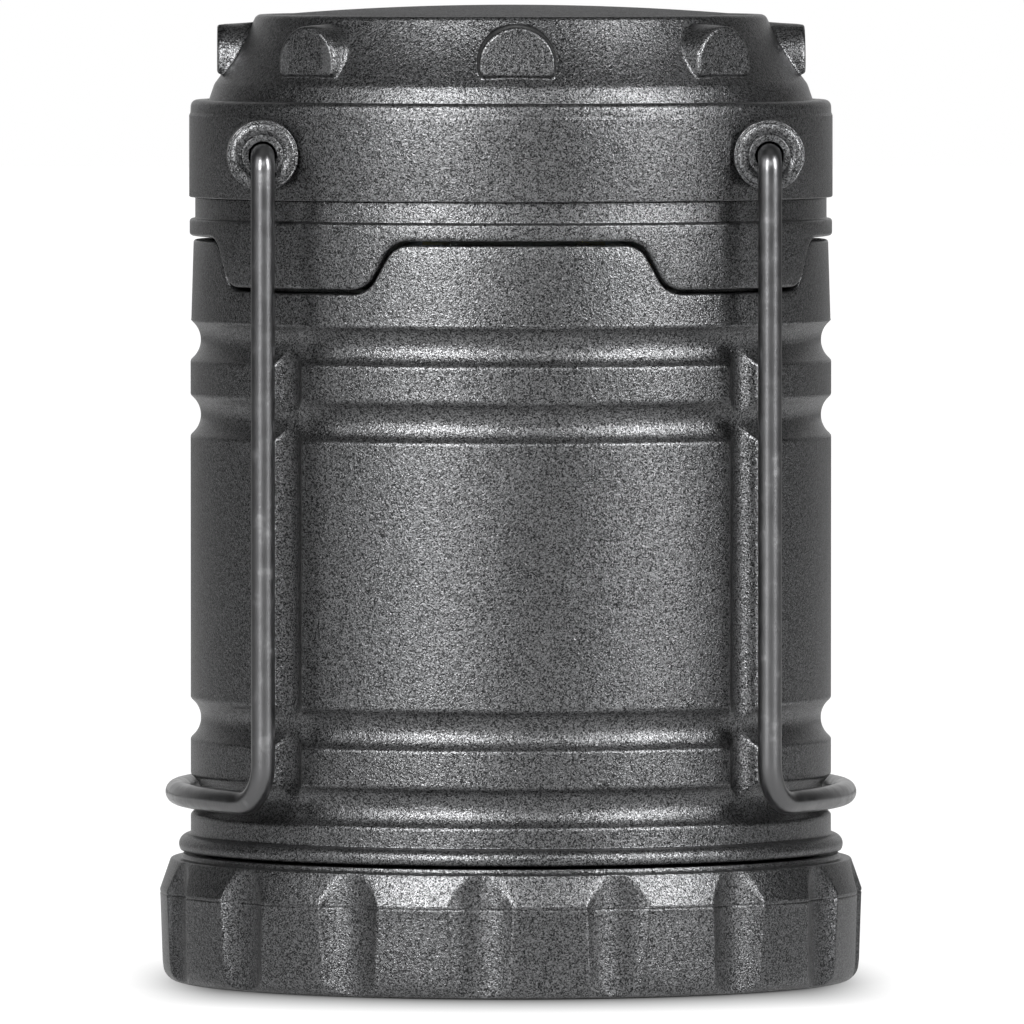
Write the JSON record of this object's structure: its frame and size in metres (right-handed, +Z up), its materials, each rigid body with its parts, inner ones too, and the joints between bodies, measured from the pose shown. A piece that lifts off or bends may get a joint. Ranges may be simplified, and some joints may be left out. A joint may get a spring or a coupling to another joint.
{
  "type": "camping lantern",
  "caption": "Pull-up camping lantern with a ribbed round housing, a twist-off scalloped base, a sliding head with a clear globe and light column, and two wire bails.",
  "frame": {"origin": "centre of the base on the floor, on the lantern's own axis", "axes": "+Z up along the lantern's axis; the front faces -Y; the two bails hang on -X and +X"},
  "size_m": [0.089, 0.089, 0.1236],
  "materials": {
    "flake_paint": "satin gunmetal flake paint over moulded plastic, fine sandy grain",
    "dark_moulding": "plain matt",
    "cell_wrap": "glossy sleeve",
    "contact_brass": "bright",
    "plated_steel": "bright plated",
    "seal_rubber": "soft matt",
    "board": "solder mask",
    "clear_globe": "clear polished plastic",
    "wire_insulation": "satin",
    "reflector": "vacuum-metallised mirror",
    "white_moulding": "satin white",
    "white_board": "white solder mask",
    "led": "yellow phosphor in a white frame",
    "bail_wire": "dark nickel, satin gloss with small nicks"
  },
  "bodies": {
    "body": {"body_sleeve": "flake_paint", "bulkhead": "dark_moulding", "battery_tube": "dark_moulding", "aa_batteries": "cell_wrap", "positive_contacts": "contact_brass", "contact_strips": "contact_brass", "inner_screws": "plated_steel", "base_seal": "seal_rubber"},
    "base": {"base_cap": "flake_paint", "contact_board": "board", "contact_springs": "plated_steel", "board_screws": "plated_steel"},
    "head": {"skirt_ring": "flake_paint", "collar": "flake_paint", "ear_bushes": "flake_paint", "cap_shell": "flake_paint", "cap_disc": "flake_paint", "cap_seal": "seal_rubber", "globe": "clear_globe", "slide_ring": "dark_moulding", "wipers": "contact_brass", "lead_wires": "wire_insulation", "upper_reflector": "reflector", "lower_reflector": "reflector", "led_column": "white_moulding", "led_boards": "white_board", "led_chips": "led", "driver_board": "board", "driver_screws": "plated_steel", "column_screws": "plated_steel", "collar_screws": "plated_steel"},
    "left_bail": {"left_bail": "bail_wire"},
    "right_bail": {"right_bail": "bail_wire"}
  },
  "joints": [
    {"name": "head_lift", "type": "slide", "parent": "body", "child": "head", "axis": [0, 0, 1], "range_m": [0, 0.058]},
    {"name": "base_twist", "type": "hinge", "parent": "body", "child": "base", "pos_m": [0, 0, 0], "axis": [0, 0, 1], "range_deg": [0, 30]},
    {"name": "left_bail_swing", "type": "hinge", "parent": "head", "child": "left_bail", "pos_m": [-0.0317, 0, 0.105], "axis": [0, 1, 0], "range_deg": [0, 194]},
    {"name": "right_bail_swing", "type": "hinge", "parent": "head", "child": "right_bail", "pos_m": [0.0317, 0, 0.105], "axis": [0, -1, 0], "range_deg": [0, 194]}
  ]
}
